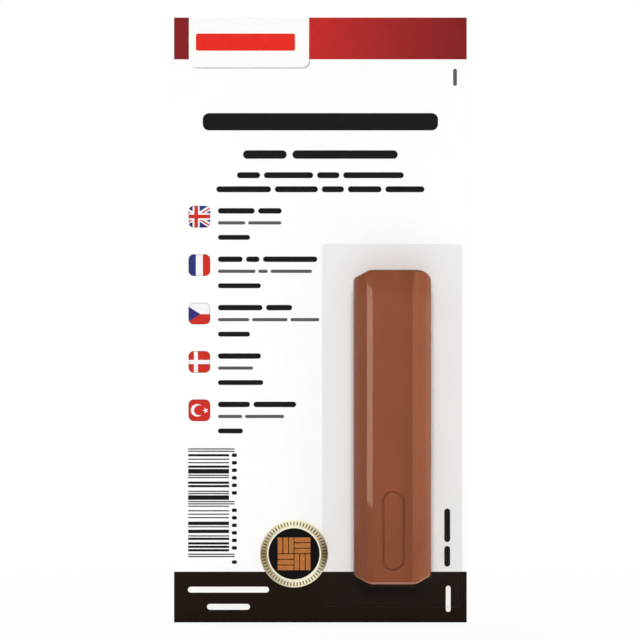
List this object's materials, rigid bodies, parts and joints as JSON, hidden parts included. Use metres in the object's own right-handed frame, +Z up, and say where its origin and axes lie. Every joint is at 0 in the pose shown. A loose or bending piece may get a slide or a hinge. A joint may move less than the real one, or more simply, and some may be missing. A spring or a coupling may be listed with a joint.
{
  "type": "furniture repair wax stick",
  "caption": "Cast furniture repair wax stick and flat spatula in a clear open-topped pocket sealed to an upright display card; both lift straight out.",
  "frame": {"origin": "centre of the card's flat back face", "axes": "+Z up the card, +X across the card to the right of someone facing its front, -Y out of the printed front"},
  "size_m": [0.075, 0.0126, 0.155],
  "materials": {
    "card_board": "coated white, printed",
    "clear_film": "clear thermoformed film",
    "wax": "satin cast wax",
    "spatula_plastic": "fine moulded texture",
    "gold_foil": "embossed gold foil on paper"
  },
  "bodies": {
    "card": {"backing_card": "card_board", "clear_pocket": "clear_film", "foil_seal": "gold_foil"},
    "stick": {"wax_stick": "wax"},
    "spatula": {"spatula": "spatula_plastic"}
  },
  "joints": [
    {"name": "stick_lift", "type": "slide", "parent": "card", "child": "stick", "axis": [0, 0, 1], "range_m": [0, 0.085]},
    {"name": "spatula_lift", "type": "slide", "parent": "card", "child": "spatula", "axis": [0, 0, 1], "range_m": [0, 0.085]}
  ]
}
